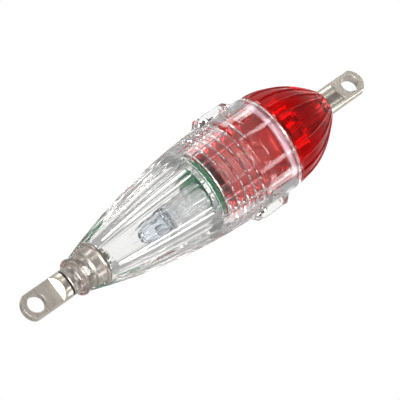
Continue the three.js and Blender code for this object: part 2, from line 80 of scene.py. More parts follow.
# The studio, in metres: azimuth 0 is the camera's side and 90 is towards +X
FLOOR, FLOOR_HALF, LAMP_MIDDLE = -0.3, 4.0, (0, 0, -0.045)
FLOOR_DARK, FLOOR_DARK_CENTRE, FLOOR_DARK_RADII = 0.18, (-0.05, -0.35, 0), (0.33, 0.60)
FLOOR_SIDES, FLOOR_BRIGHT_WIDTH, FLOOR_SPREAD = 0.4, (0.05, 0.16), 0.12
SOFTBOXES = (
    # name, azimuth, height, distance, width, tall, power
    ("softbox_overhead", 20, 0.90, 0.35, 0.50, 0.50, 6),
    ("softbox_key", -5, 0.40, 0.40, 0.45, 0.35, 9),
    ("softbox_left", 100, 0.25, 0.60, 0.25, 0.60, 0.3),
    ("softbox_right", -75, 0.10, 0.60, 0.20, 0.60, 0.25),
    ("strip_left", 97, -0.227, 0.45, 0.14, 0.12, 0.26),
    ("strip_right", -91, -0.227, 0.45, 0.14, 0.12, 0.26),
    ("strip_front_left", 42, -0.215, 0.45, 0.05, 0.12, 0.12),
    ("strip_front_right", -42, -0.215, 0.45, 0.05, 0.12, 0.12),
)
# How far up the sky is (0 at the horizon and below, 1 overhead) and its grey there
SKY = ((0.0, 0.2), (0.25, 0.2), (0.55, 0.35), (0.9, 0.65))
FLAG_HEIGHT, FLAG_DISTANCE, FLAG_TALL = -0.10, 0.55, 0.40
FLAGS = (
    # azimuth, half of the angle it covers, grey, seen through the clear plastic
    (-13, 24, 0.10, False),
    (67.5, 9, 0.40, True),
    (-67.5, 9, 0.40, True),
    (93, 10, 0.06, True),
    (-93, 10, 0.06, True),
    (134, 30, 0.42, True),
    (-134, 30, 0.42, True),
)

# Outlines that the boxes don't give: the CAD model's driving dimensions, but for small fits
HOLE_TO_TIP, TIP_ROUNDING, TONGUE_HALF, EYE_HOLE_RADIUS = 3.0, 3.45, 1.3, 1.95
LINE_EYE_FLAT, LINE_EYE_SHOULDER, LINE_EYE_TURN = 5.0, 7.35, math.radians(10)
STEM_RADIUS, STEM_GROOVE_RADIUS, STEM_GROOVE = 1.3, 0.95, (16.95, 17.65)
CAP_EYE_HOLE, CAP_EYE_FLAT, CAP_EYE_SHOULDER, CAP_EYE_TURN = 85.8, 3.7, 75.5, math.radians(20)
SHANK_RADIUS = 1.8
BARREL_BORE, BARREL_BODY_RADIUS, BARREL_GROOVE_RADIUS, BARREL_FOOT_RADIUS = 1.42, 2.85, 2.4, 3.4
BARREL_SHOULDER_END, BARREL_BODY_START, BARREL_FOOT_START = 10.0, 10.2, 15.9
BARREL_GROOVE = (11.6, 11.9, 13.4, 13.7)
STEM_SEAL_POCKET, STEM_SEAL_POCKET_RADIUS = (13.6, 14.6), 2.3
WASHER_RADII, RETAINER_RADII = (1.5, 2.75), (1.1, 2.5)
# Half of the clip's open mouth in degrees, and the steps round the rest of it
RETAINER_HALF_MOUTH, RETAINER_STEPS = 24, 60
BEAD_RADIUS, BEAD_ROUNDING = 4.25, 1.1
OGIVE_START, OGIVE_TANGENT, OGIVE_ARC = 11.4, 54.0, 131.5
RIDGES, FACET_END = 22, 52.4
CAVITY_FLOOR, CAVITY_END, CAVITY_RADIUS, CAVITY_TANGENT, CAVITY_ARC = 16.7, 41.9, 5.2, 50.0, 240.0
BOARD_SPACE_RADIUS, LEDGE, RECESS_RADIUS, RECESS_END = 7.9, 42.2, 8.35, 43.5
BORE_RADIUS = 9.55
LUG_WIDTH, LUG_DEPTHS = 4.6, (50.05, 51.45, 57.4, 59.1)
PITCH, TURNS, THREAD_START = 2.25, 5, 45.1
MALE_CREST, FEMALE_CREST, SKIRT_RADIUS = 9.25, 8.85, 8.5
CREST_WIDTH, ROOT_WIDTH = 0.45, 1.85
PLAIN_START, PLAIN_RADIUS = 57.0, 9.3
GROOVE_START, GROOVE_RADIUS = 60.1, 7.7
DOME_START, DOME_END_RADIUS, DOME_POWER, DOME_RIDGES = 62.05, 3.6, 2.1, 20
LIGHT_OFFSET, LIGHT_TURN = -1.2, math.radians(35)
LED_RADIUS, LED_FLANGE_RADIUS, LED_FLANGE_HEIGHT = 2.5, 2.95, 1.0
LEAD_HEADS = (
    # node, side, width of the head, its top
    ("led_anvil_lead", -1, 1.7, 29.7),
    ("led_post_lead", 1, 1.1, 30.0),
)
LEAD_OFFSET, LEAD_THICKNESS, LEAD_HEAD_REACH = 1.27, 0.5, 0.3
LEAD_HEAD_END, LEAD_NECK_END = 31.2, 31.8
SPACER_BORE, SPACER_RADIUS, SPACER_WAIST = 1.95, 3.2, 2.95
RING_CONTACT_RADII = (6.25, 7.3)
SPRING_TOP, SPRING_LENGTH, SPRING_RADII, SPRING_TURNS, SPRING_WIRE = 43.65, 2.2, (3.1, 1.3), 3, 0.19
SLEEVE_THICKNESS, CELL_POLE_HEIGHT = 0.28, 0.5
STRIP_RADII, STRIP_FOOT_REACH, STRIP_THICKNESS, STRIP_WIDTH = (6.5, 6.75), 3.6, 0.25, 3.0
CAP_BORE, CAP_BORE_END, NUT_BORE, NUT_BORE_END = 7.05, 63.35, 4.4, 67.6
SHANK_HOLE, SEAT_RADIUS, SEAT_DEPTH = 2.0, 3.15, 74.6
CAP_CONTACT_RADIUS, NUT_HOLE = 5.8, 1.95
# O-rings: radius, the section's radius and the depth, which the cap seal takes from its groove
STEM_SEAL = (1.8, 0.33, 14.1)
EYE_SEAL = (2.45, 0.35, 75.05)
CAP_SEAL = (8.66, 0.8)
# The plastic is moulded round the barrel, so its bore lies inside the metal
INSERT_BORE, NECK_FACE_RADIUS = 2.0, 3.15
# Where the fine rows that carry the housing's thread begin
THREAD_MESH_START = 56.8
RIB_HEIGHT, RIB_HALF_WIDTH = 0.11, 0.28
FLUTES_FROM, FLUTES_FULL = 12.0, 38.0
DOME_PANEL_DEPTH, DOME_RIB_WIDTHS = 0.34, (0.08, 0.42)
# The board's green mask ends between these distances to either side of its middle
MASK_EDGE = (5.2, 5.5)
# The least angle, in degrees, between two faces whose edge is bevelled
BEVEL_ANGLE = 28


# ---- Mesh helpers ---------------------------------------------------------------------------------

def arc(count, start, end, place):
    return [place(start + (end - start) * k / count) for k in range(count + 1)]


def soft(profile, radius=0.12, steps=3, closed=True):
    """The profile with each corner rounded off."""
    out = []
    count = len(profile)
    for i, corner in enumerate(profile):
        here = Vector(corner)
        if not closed and i in (0, count - 1):
            out.append(tuple(here))
            continue
        before = Vector(profile[i - 1]) - here
        after = Vector(profile[(i + 1) % count]) - here
        cut = min(radius, before.length * 0.45, after.length * 0.45)
        if cut < 1e-4 or before.angle(after) > math.radians(172):
            out.append(tuple(here))
            continue
        start = here + before.normalized() * cut
        end = here + after.normalized() * cut
        for k in range(steps + 1):
            t = k / steps
            out.append(tuple(start * (1 - t) ** 2 + here * 2 * t * (1 - t) + end * t ** 2))
    return out


def piece(name, vertices, faces, smooth=True):
    mesh = bpy.data.meshes.new(name)
    mesh.from_pydata([Vector(v) * MM for v in vertices], [], faces)
    bm = bmesh.new()
    bm.from_mesh(mesh)
    bmesh.ops.remove_doubles(bm, verts=bm.verts, dist=1e-7)
    bmesh.ops.recalc_face_normals(bm, faces=bm.faces)
    bm.to_mesh(mesh)
    bm.free()
    for polygon in mesh.polygons:
        polygon.use_smooth = smooth
    made = bpy.data.objects.new(name, mesh)
    bpy.context.collection.objects.link(made)
    return made


def grid(name, rows, angles, place, closed=True):
    """A surface of revolution in general form: place(row, angle) gives the radius and the depth."""
    vertices = []
    faces = []
    columns = len(angles)
    for row in rows:
        for angle in angles:
            radius, depth = place(row, angle)
            vertices.append((radius * math.cos(angle), radius * math.sin(angle), -depth))
    for i in range(len(rows) if closed else len(rows) - 1):
        below = (i + 1) % len(rows)
        for j in range(columns):
            beside = (j + 1) % columns
            faces.append((i * columns + j, i * columns + beside, below * columns + beside,
                          below * columns + j))
    return piece(name, vertices, faces)


def even_angles(count):
    return [FRONT + 2 * math.pi * k / count for k in range(count)]


def turned(name, profile, segments=96):
    """A turned solid whose profile closes on itself, or starts and ends on the axis."""
    on_axis = profile[0][0] == 0 and profile[-1][0] == 0
    return grid(name, profile, even_angles(segments), lambda row, angle: row, closed=not on_axis)


def ring_profile(inner, outer, top, bottom):
    return [(inner, top), (outer, top), (outer, bottom), (inner, bottom)]


def round_section(centre_radius, section_radius, depth, sides=20):
    return arc(sides, 0, 2 * math.pi, lambda a: (centre_radius + section_radius * math.cos(a),
                                                 depth + section_radius * math.sin(a)))[:-1]


def weighted(made):
    """Flat faces stay flat in shading beside their rounded edges."""
    modifier = made.modifiers.new("flat_faces", "WEIGHTED_NORMAL")
    modifier.keep_sharp = True
    modifier.weight = 100
    return made


def bevelled(made, width, segments=3):
    modifier = made.modifiers.new("edges", "BEVEL")
    modifier.width = width * MM
    modifier.segments = segments
    modifier.limit_method = "ANGLE"
    modifier.angle_limit = math.radians(BEVEL_ANGLE)
    modifier.use_clamp_overlap = True
    modifier.miter_outer = "MITER_ARC"
    return weighted(made)


def applied(made):
    """Turns the modifiers so far into mesh."""
    evaluated = made.evaluated_get(bpy.context.evaluated_depsgraph_get())
    mesh = bpy.data.meshes.new_from_object(evaluated)
    made.modifiers.clear()
    made.data = mesh
    return made


def combine(made, tool, operation):
    modifier = made.modifiers.new("cut", "BOOLEAN")
    modifier.operation = operation
    modifier.object = tool
    modifier.solver = "EXACT"
    applied(made)
    bpy.data.objects.remove(tool)
    return made


def slab(name, outline, thickness, turn=0.0):
    """An outline of (x, depth) points, given a thickness along Y and turned about Z."""
    half = thickness / 2
    count = len(outline)
    vertices = [(x, y, -depth) for y in (-half, half) for x, depth in outline]
    faces = [tuple(range(count)), tuple(range(2 * count - 1, count - 1, -1))]
    for i in range(count):
        j = (i + 1) % count
        faces.append((i, j, count + j, count + i))
    made = piece(name, vertices, faces, smooth=False)
    made.data.transform(Matrix.Rotation(turn, 4, "Z"))
    return made


def block(name, low, high):
    """A plain box between two corners in metres, for bevelling."""
    vertices = [Vector((x, y, z)) / MM for z in (low[2], high[2]) for y in (low[1], high[1])
                for x in (low[0], high[0])]
    faces = [(0, 1, 3, 2), (4, 6, 7, 5), (0, 4, 5, 1), (2, 3, 7, 6), (0, 2, 6, 4), (1, 5, 7, 3)]
    return piece(name, vertices, faces, smooth=False)


def wire(name, points, radius, sides=12):
    """A round wire along a list of points, closed at both ends."""
    vertices = []
    faces = []
    count = len(points)
    for i, point in enumerate(points):
        here = Vector(point)
        along = Vector(points[min(i + 1, count - 1)]) - Vector(points[max(i - 1, 0)])
        along.normalize()
        across = along.cross(Vector((0, 0, 1))).normalized()
        up = across.cross(along)
        for k in range(sides):
            a = 2 * math.pi * k / sides
            vertices.append(here + (across * math.cos(a) + up * math.sin(a)) * radius)
    for i in range(count - 1):
        for k in range(sides):
            j = (k + 1) % sides
            faces.append((i * sides + k, i * sides + j, (i + 1) * sides + j, (i + 1) * sides + k))
    faces += [tuple(range(sides)), tuple(range(count * sides - 1, (count - 1) * sides - 1, -1))]
    return piece(name, vertices, faces)


# ---- Materials ------------------------------------------------------------------------------------

class Nodes:
    """Short calls for building one material's node tree."""

    def __init__(self, name):
        self.material = bpy.data.materials.new(name)
        self.material.use_nodes = True
        self.tree = self.material.node_tree
        self.shader = self.tree.nodes["Principled BSDF"]
        self.output = self.tree.nodes["Material Output"]

    def add(self, kind, **values):
        node = self.tree.nodes.new(kind)
        for key, value in values.items():
            if hasattr(node, key):
                setattr(node, key, value)
            else:
                node.inputs[key.replace("_", " ")].default_value = value
        return node

    def link(self, source, target):
        self.tree.links.new(source, target)

    def set(self, **values):
        for key, value in values.items():
            self.shader.inputs[key.replace("_", " ")].default_value = value

    def place(self, scale=(1, 1, 1)):
        """Object coordinates, stretched."""
        coordinates = self.add("ShaderNodeTexCoord")
        mapping = self.add("ShaderNodeMapping")
        mapping.inputs["Scale"].default_value = scale
        self.link(coordinates.outputs["Object"], mapping.inputs["Vector"])
        return mapping.outputs["Vector"]

    def noise(self, scale, detail=4.0, stretch=(1, 1, 1), roughness=0.55):
        node = self.add("ShaderNodeTexNoise")
        node.inputs["Scale"].default_value = scale
        node.inputs["Detail"].default_value = detail
        node.inputs["Roughness"].default_value = roughness
        self.link(self.place(stretch), node.inputs["Vector"])
        return node.outputs["Fac"]

    def ramp(self, source, stops):
        """Stops are (position, value or colour) pairs."""
        node = self.add("ShaderNodeValToRGB")
        elements = node.color_ramp.elements
        while len(elements) < len(stops):
            elements.new(0.5)
        for element, (position, value) in zip(elements, stops):
            element.position = position
            colour = value if isinstance(value, tuple) else (value,) * 3
            element.color = (*colour, 1)
        self.link(source, node.inputs["Fac"])
        return node.outputs["Color"]

    def mix(self, factor, first, second):
        """Blends two colours, each a colour or a socket."""
        node = self.add("ShaderNodeMix", data_type="RGBA")
        for value, key in ((factor, 0), (first, 6), (second, 7)):
            if hasattr(value, "links"):
                self.link(value, node.inputs[key])
            else:
                node.inputs[key].default_value = (*value, 1)
        return node.outputs[2]

    def bump(self, height, strength, distance=0.0001, below=None):
        node = self.add("ShaderNodeBump")
        node.inputs["Strength"].default_value = strength
        node.inputs["Distance"].default_value = distance
        self.link(height, node.inputs["Height"])
        if below is not None:
            self.link(below, node.inputs["Normal"])
        return node.outputs["Normal"]


def moulded_clear(name, tint, roughness, haze, bumpiness=0.02, clarity=1.0):
    """Polished clear plastic: faint flow marks and handling haze, milkier where clarity is below 1."""
    n = Nodes(name)
    n.set(Transmission_Weight=clarity, IOR=1.49, Base_Color=(*tint, 1), Metallic=0.0)
    n.link(n.ramp(n.noise(900, 3), [(0.35, roughness), (0.8, roughness + haze)]),
           n.shader.inputs["Roughness"])
    n.link(n.bump(n.noise(350, 2, (1, 1, 0.3)), bumpiness, 0.0002), n.shader.inputs["Normal"])
    return n.material


def red_translucent(name):
    """Dyed clear plastic: its colour deepens with the thickness that light crosses."""
    n = Nodes(name)
    n.set(Transmission_Weight=1.0, IOR=1.49, Base_Color=(1.0, 0.94, 0.93, 1))
    n.link(n.ramp(n.noise(700, 3), [(0.35, 0.03), (0.8, 0.09)]), n.shader.inputs["Roughness"])
    n.link(n.bump(n.noise(420, 3, (1, 1, 0.4)), 0.35, 0.0003), n.shader.inputs["Normal"])
    dye = n.add("ShaderNodeVolumeAbsorption")
    dye.inputs["Color"].default_value = (0.985, 0.05, 0.05, 1)
    dye.inputs["Density"].default_value = 500
    n.link(dye.outputs["Volume"], n.output.inputs["Volume"])
    return n.material


def machined(name, colour, dark, roughness, rings=True):
    """Plated metal: turning or drawing lines, cloudy plating and small darker pits."""
    n = Nodes(name)
    stretch = (0.15, 0.15, 6.0) if rings else (6.0, 6.0, 0.3)
    lines = n.noise(1400, 5, stretch, 0.7)
    clouds = n.noise(260, 4)
    tone = n.mix(n.ramp(clouds, [(0.35, 0.0), (0.7, 1.0)]), colour, tuple(0.86 * c for c in colour))
    pits = n.ramp(n.noise(1500, 6, roughness=0.7), [(0.24, 1.0), (0.30, 0.0)])
    n.link(n.mix(pits, tone, dark), n.shader.inputs["Base Color"])
    n.link(n.ramp(lines, [(0.3, roughness * 0.7), (0.75, roughness * 1.5)]),
           n.shader.inputs["Roughness"])
    n.set(Metallic=1.0)
    n.link(n.bump(lines, 0.09, 0.00005, n.bump(clouds, 0.04, 0.00015)), n.shader.inputs["Normal"])
    return n.material


def satin(name, colour, light, roughness):
    """Rubber, moulded packages and ceramic: a fine grain over a slightly uneven colour."""
    n = Nodes(name)
    fine = n.noise(1200, 5, roughness=0.7)
    n.link(n.mix(n.ramp(n.noise(240, 4), [(0.35, 0.0), (0.75, 1.0)]), colour, light),
           n.shader.inputs["Base Color"])
    n.link(n.ramp(fine, [(0.3, roughness - 0.12), (0.7, roughness + 0.12)]),
           n.shader.inputs["Roughness"])
    n.link(n.bump(fine, 0.15, 0.00005), n.shader.inputs["Normal"])
    return n.material


def masked_board(name):
    """Green solder mask across the middle of the board, bare fibreglass along two of its sides."""
    n = Nodes(name)
    weave = n.noise(1200, 5, roughness=0.7)
    mask = n.mix(n.ramp(n.noise(240, 4), [(0.35, 0.0), (0.75, 1.0)]), (0.012, 0.12, 0.053),
                 (0.03, 0.19, 0.09))
    split = n.add("ShaderNodeSeparateXYZ")
    n.link(n.place(), split.inputs["Vector"])
    aside = n.add("ShaderNodeMath", operation="ABSOLUTE")
    n.link(split.outputs["X"], aside.inputs[0])
    bare = n.add("ShaderNodeMapRange", interpolation_type="SMOOTHSTEP")
    bare.inputs["From Min"].default_value = MASK_EDGE[0] * MM
    bare.inputs["From Max"].default_value = MASK_EDGE[1] * MM
    n.link(aside.outputs["Value"], bare.inputs["Value"])
    fibreglass = n.mix(weave, (0.30, 0.31, 0.26), (0.42, 0.42, 0.36))
    n.link(n.mix(bare.outputs["Result"], mask, fibreglass), n.shader.inputs["Base Color"])
    n.link(n.ramp(weave, [(0.3, 0.18), (0.7, 0.42)]), n.shader.inputs["Roughness"])
    n.link(n.bump(weave, 0.15, 0.00005), n.shader.inputs["Normal"])
    return n.material


CLEAR = moulded_clear("clear_plastic", (0.985, 0.985, 0.975), 0.03, 0.05)
SPACER = moulded_clear("spacer_plastic", (0.92, 0.92, 0.94), 0.12, 0.3, 0.4, 0.5)
EPOXY = moulded_clear("lens_epoxy", (0.77, 0.82, 0.89), 0.05, 0.08, 0.05, 0.94)
MILKY = moulded_clear("clear_rubber", (0.94, 0.61, 0.71), 0.3, 0.15, 0.1, 0.25)
FILM = moulded_clear("sleeve_film", (0.95, 0.93, 0.91), 0.35, 0.15, 0.05, 0.06)
RED = red_translucent("red_plastic")
NICKEL = machined("nickel_plate", (0.96, 0.88, 0.77), (0.46, 0.40, 0.33), 0.3)
# The barrel's nickel plate: the same plating as NICKEL, in a darker copy whose colour is painted shade
SHADED_NICKEL = machined("nickel_plate_painted_shade", (0.76, 0.69, 0.63), (0.36, 0.30, 0.25), 0.3)
STEEL = machined("spring_steel", (0.62, 0.62, 0.63), (0.25, 0.25, 0.25), 0.22, rings=False)
LEAD = machined("lead_wire", (0.76, 0.76, 0.77), (0.45, 0.45, 0.46), 0.35, rings=False)
BRASS = machined("contact_brass", (0.78, 0.60, 0.28), (0.35, 0.22, 0.08), 0.25, rings=False)
CELL = machined("cell_steel", (0.82, 0.81, 0.79), (0.40, 0.39, 0.38), 0.4)
BLACK = satin("black_rubber", (0.012, 0.012, 0.012), (0.03, 0.03, 0.03), 0.55)
CHIP = satin("chip_body", (0.015, 0.015, 0.017), (0.035, 0.035, 0.04), 0.5)
CERAMIC = satin("chip_ceramic", (0.42, 0.32, 0.22), (0.55, 0.45, 0.33), 0.5)
BOARD = masked_board("board")


def finish_piece(made, material, body, slot, node):
    """Gives a piece its material and its body, and hides the CAD node that it stands for."""
    made.data.materials.clear()
    made.data.materials.append(material)
    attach(made, body)
    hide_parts(node)
    return made


# ---- Metal eyes -----------------------------------------------------------------------------------

def milled_eye(name, profile, flat_end, far_end):
    """A turned bar, hole at depth 0, with its flats, run-out slopes, rounded tip and hole milled."""
    half = TONGUE_HALF
    wide = BAR_RADIUS + 1
    slope_end = flat_end + (wide - half) / (BAR_RADIUS - half)
    bar = turned(name, profile, 128)
    side = slab("cutter", [
        (-half, -5), (half, -5), (half, flat_end), (wide, slope_end), (wide, far_end),
        (-wide, far_end), (-wide, slope_end), (-half, flat_end),
    ], 12, math.pi / 2)
    combine(bar, side, "INTERSECT")
    spread = math.asin((BAR_RADIUS + 0.1) / TIP_ROUNDING)
    tip = arc(32, -spread, spread, lambda a: (
        TIP_ROUNDING * math.sin(a), TIP_ROUNDING - HOLE_TO_TIP - TIP_ROUNDING * math.cos(a)))
    front = slab("cutter", [*tip, (BAR_RADIUS + 0.1, far_end), (-BAR_RADIUS - 0.1, far_end)], 12)
    combine(bar, front, "INTERSECT")
    drill = turned("cutter", [
        (0, -5), (EYE_HOLE_RADIUS, -5), (EYE_HOLE_RADIUS, 5), (0, 5)], 64)
    drill.data.transform(Matrix.Rotation(math.pi / 2, 4, "X"))
    combine(bar, drill, "DIFFERENCE")
    for polygon in bar.data.polygons:
        polygon.use_smooth = True
    return bevelled(bar, 0.14)


def tail_eye():
    """The line eye, whose grooved stem goes down through the barrel."""
    end = span("tail_eye")[1]
    cut, cut_end = STEM_GROOVE
    profile = [
        (0, -HOLE_TO_TIP), (BAR_RADIUS, -HOLE_TO_TIP), (BAR_RADIUS, LINE_EYE_SHOULDER),
        (STEM_RADIUS, LINE_EYE_SHOULDER), (STEM_RADIUS, cut), (STEM_GROOVE_RADIUS, cut),
        (STEM_GROOVE_RADIUS, cut_end), (STEM_RADIUS, cut_end), (STEM_RADIUS, end - 0.2),
        (STEM_RADIUS - 0.2, end), (0, end),
    ]
    made = milled_eye("tail_eye_fine", profile, LINE_EYE_FLAT, end + 1)
    made.data.transform(Matrix.Rotation(LINE_EYE_TURN, 4, "Z"))
    return finish_piece(made, NICKEL, "line_eye", "nickel_plate", "tail_eye")


def cap_eye():
    """The lower eye, built from its hole upwards and then turned over into the cap."""
    shoulder = CAP_EYE_HOLE - CAP_EYE_SHOULDER
    end = CAP_EYE_HOLE - span("cap_eye")[0]
    profile = [
        (0, -HOLE_TO_TIP), (BAR_RADIUS, -HOLE_TO_TIP), (BAR_RADIUS, shoulder),
        (SHANK_RADIUS, shoulder), (SHANK_RADIUS, end - 0.3), (SHANK_RADIUS - 0.3, end), (0, end),
    ]
    made = milled_eye("cap_eye_fine", profile, CAP_EYE_FLAT, end + 1)
    made.data.transform(Matrix.Rotation(math.pi, 4, "X"))
    made.data.transform(Matrix.Rotation(CAP_EYE_TURN, 4, "Z"))
    made.data.transform(Matrix.Translation((0, 0, -CAP_EYE_HOLE * MM)))
    return finish_piece(made, NICKEL, "cap", "nickel_plate", "cap_eye")


def swivel_barrel():
    """The insert in the neck, grooved outside to hold and pocketed inside for the stem's seal."""
    groove, groove_floor, groove_floor_end, groove_end = BARREL_GROOVE
    pocket, pocket_end = STEM_SEAL_POCKET
    barrel = turned("swivel_barrel_fine", soft([
        (BARREL_BORE, BARREL_TOP), (BAR_RADIUS, BARREL_TOP), (BAR_RADIUS, BARREL_SHOULDER_END),
        (BARREL_BODY_RADIUS, BARREL_BODY_START), (BARREL_BODY_RADIUS, groove),
        (BARREL_GROOVE_RADIUS, groove_floor), (BARREL_GROOVE_RADIUS, groove_floor_end),
        (BARREL_BODY_RADIUS, groove_end), (BARREL_BODY_RADIUS, BARREL_FOOT_START),
        (BARREL_FOOT_RADIUS, BARREL_FOOT_START), (BARREL_FOOT_RADIUS, BARREL_END),
        (BARREL_BORE, BARREL_END), (BARREL_BORE, pocket_end), (STEM_SEAL_POCKET_RADIUS, pocket_end),
        (STEM_SEAL_POCKET_RADIUS, pocket), (BARREL_BORE, pocket),
    ], 0.14))
    # The barrel takes the darker copy of the nickel plate, with painted shade in its colour
    finish_piece(weighted(barrel), SHADED_NICKEL, "housing", "nickel_plate", "swivel_barrel")


def swivel_seals():
    washer = turned("swivel_washer_fine",
                    soft(ring_profile(*WASHER_RADII, *span("swivel_washer")), 0.1))
    finish_piece(weighted(washer), BLACK, "housing", "black_rubber", "swivel_washer")
    seal = turned("stem_seal_fine", round_section(*STEM_SEAL))
    finish_piece(seal, BLACK, "housing", "black_rubber", "stem_seal")


def stem_retainer():
    """A ring section swept round the stem, with a mouth left open."""
    steps = RETAINER_STEPS
    turn = 360 - 2 * RETAINER_HALF_MOUTH
    angles = [math.pi / 2 + math.radians(RETAINER_HALF_MOUTH + turn * k / steps)
              for k in range(steps + 1)]
    section = soft(ring_profile(*RETAINER_RADII, *span("stem_retainer")), 0.08)
    vertices = [(r * math.cos(a), r * math.sin(a), -d) for a in angles for r, d in section]
    count = len(section)
    faces = [(i * count + j, i * count + (j + 1) % count, (i + 1) * count + (j + 1) % count,
              (i + 1) * count + j) for i in range(steps) for j in range(count)]
    faces += [tuple(range(count)), tuple(range((steps + 1) * count - 1, steps * count - 1, -1))]
    clip = piece("stem_retainer_fine", vertices, faces)
    finish_piece(weighted(clip), STEEL, "line_eye", "spring_steel", "stem_retainer")


# ---- Clear housing --------------------------------------------------------------------------------

def ogive(depth, radius, tangent, arc_radius):
    return radius - (arc_radius - math.sqrt(arc_radius ** 2 - (tangent - depth) ** 2))


def cavity_radius(depth):
    return ogive(depth, CAVITY_RADIUS, CAVITY_TANGENT, CAVITY_ARC)


def smoothstep(low, high, value):
    t = min(max((value - low) / (high - low), 0), 1)
    return t * t * (3 - 2 * t)


def thread_height(angle, depth, start):
    """How far a right-handed ridge stands at this place: 0 between its turns, 1 at its crest."""
    turn = (FRONT - angle) / (2 * math.pi) % 1
    along = (depth - start) / PITCH - turn
    nearest = min(max(round(along), 0), TURNS)
    if not -0.02 <= nearest + turn <= TURNS + 0.02:
        nearest = min(max(round(along), 0), TURNS - 1)
    off = abs(along - nearest) * PITCH
    ends = smoothstep(0, 0.12, nearest + turn) * smoothstep(0, 0.12, TURNS - nearest - turn)
    flank = 1 - (off - CREST_WIDTH / 2) / ((ROOT_WIDTH - CREST_WIDTH) / 2)
    return min(max(flank, 0), 1) * ends


def ridge_columns():
    """Angles that gather at each ridge, where the rib stands."""
    step = 2 * math.pi / RIDGES
    shares = (0, 0.012, 0.025, 0.04, 0.0625, 0.09, 0.2, 0.35)
    shares += (0.5,) + tuple(1 - share for share in shares[:0:-1])
    return [(k + share) * step for k in range(RIDGES) for share in shares]


def rib_relief(angle, radius):
    """How far a flat panel lies below the round body here, less the rib that stands at its edge."""
    half_step = math.pi / RIDGES
    off = abs((angle + half_step) % (2 * half_step) - half_step)
    flat = radius * (1 - math.cos(half_step) / math.cos(half_step - off))
    rib = RIB_HEIGHT * (1 - smoothstep(0, RIB_HALF_WIDTH, off * radius))
    return flat + RIB_HEIGHT - rib


def lug_offset(angle):
    return abs(math.remainder(angle, math.pi))


LUG_EDGE = math.asin(LUG_WIDTH / 2 / (LUG_RADIUS + 0.2))
LUG_CHAMFER = 0.012
LUG_FOOT = math.asin(LUG_WIDTH / 2 / BODY_RADIUS) + LUG_CHAMFER


def outer_radius(angle, depth):
    if depth < FACET_END:
        base = ogive(depth, BODY_RADIUS, OGIVE_TANGENT, OGIVE_ARC)
        relief = smoothstep(FLUTES_FROM, FLUTES_FULL, depth)
        relief *= 1 - smoothstep(FACET_END - 0.5, FACET_END, depth)
        base -= relief * rib_relief(angle, base)
    else:
        base = BODY_RADIUS
    rise, flat, fall, end = LUG_DEPTHS
    if not rise < depth < end:
        return base
    share = min((depth - rise) / (flat - rise), (end - depth) / (end - fall), 1)
    height = BODY_RADIUS - 0.05 + (LUG_RADIUS - BODY_RADIUS + 0.05) * share
    off = lug_offset(angle)
    if off > LUG_FOOT:
        return base
    top = height / math.cos(off)
    if off > LUG_EDGE:
        blend = (off - LUG_EDGE) / (LUG_FOOT - LUG_EDGE)
        top = base + (top - base) * (1 - blend)
    elif off > LUG_EDGE - LUG_CHAMFER:
        top -= 0.09
    return max(top, base)


def clear_housing():
    centre = NECK_END + BEAD_ROUNDING
    rows = [("plain", INSERT_BORE, NECK_END + 0.3), ("plain", NECK_FACE_RADIUS, NECK_END)]
    rows += [("plain", BEAD_RADIUS - BEAD_ROUNDING + BEAD_ROUNDING * math.sin(a),
              centre - BEAD_ROUNDING * math.cos(a)) for a in arc(14, 0.3, 2.75, lambda a: a)]
    stations = {station + e for station in LUG_DEPTHS for e in (-0.06, 0, 0.06)}
    stations |= set(arc(47, OGIVE_START, FACET_END - 0.5, lambda d: d))
    stations |= {FACET_END - 0.3, FACET_END - 0.1, FACET_END + 0.1}
    stations |= set(arc(12, FACET_END + 0.4, HOUSING_END - 0.25, lambda d: d))
    rows += [("outer", 0, d) for d in sorted(stations)]
    rows += [("plain", r, d) for r, d in soft([
        (BODY_RADIUS, HOUSING_END - 0.2), (BODY_RADIUS, HOUSING_END),
        (BORE_RADIUS + 0.35, HOUSING_END), (BORE_RADIUS, HOUSING_END - 0.35),
        (BORE_RADIUS, HOUSING_END - 1.5)], 0.14, closed=False)]
    female = THREAD_START - PITCH / 2
    rows += [("plain", BORE_RADIUS, d)
             for d in arc(3, HOUSING_END - 2.5, THREAD_MESH_START + 0.7, lambda d: d)]
    rows += [("thread", BORE_RADIUS, d)
             for d in arc(95, THREAD_MESH_START, RECESS_END + 0.15, lambda d: d)]
    rows += [("plain", r, d) for r, d in soft([
        (BORE_RADIUS, RECESS_END + 0.1), (BORE_RADIUS, RECESS_END), (RECESS_RADIUS, RECESS_END),
        (RECESS_RADIUS, LEDGE), (BOARD_SPACE_RADIUS, LEDGE), (BOARD_SPACE_RADIUS, CAVITY_END),
        (cavity_radius(CAVITY_END), CAVITY_END), (cavity_radius(CAVITY_END - 1), CAVITY_END - 1)],
        0.1, closed=False)]
    rows += [("plain", cavity_radius(d), d)
             for d in arc(24, CAVITY_END - 2, CAVITY_FLOOR + 1, lambda d: d)]
    rows += [("plain", r, d) for r, d in soft([
        (cavity_radius(CAVITY_FLOOR), CAVITY_FLOOR + 0.8), (cavity_radius(CAVITY_FLOOR), CAVITY_FLOOR),
        (INSERT_BORE, BARREL_END - 0.2), (INSERT_BORE, BARREL_BODY_START)], 0.12, closed=False)]
    columns = {round(a % (2 * math.pi), 5) for a in ridge_columns()}
    for side in (0, math.pi):
        for edge in (LUG_EDGE - LUG_CHAMFER, LUG_EDGE, LUG_FOOT, LUG_FOOT + 0.01):
            columns |= {round((side + sign * edge) % (2 * math.pi), 5) for sign in (-1, 1)}
    angles = sorted(columns)

    def place(row, angle):
        kind, radius, depth = row
        if kind == "outer":
            return outer_radius(angle, depth), depth
        if kind == "thread":
            rise = (BORE_RADIUS - FEMALE_CREST) * thread_height(angle, depth, female)
            return radius - rise, depth
        return radius, depth

    made = grid("clear_housing_fine", rows, angles, place)
    return finish_piece(weighted(made), CLEAR, "housing", "clear_plastic", "clear_housing")


# ---- Light unit -----------------------------------------------------------------------------------

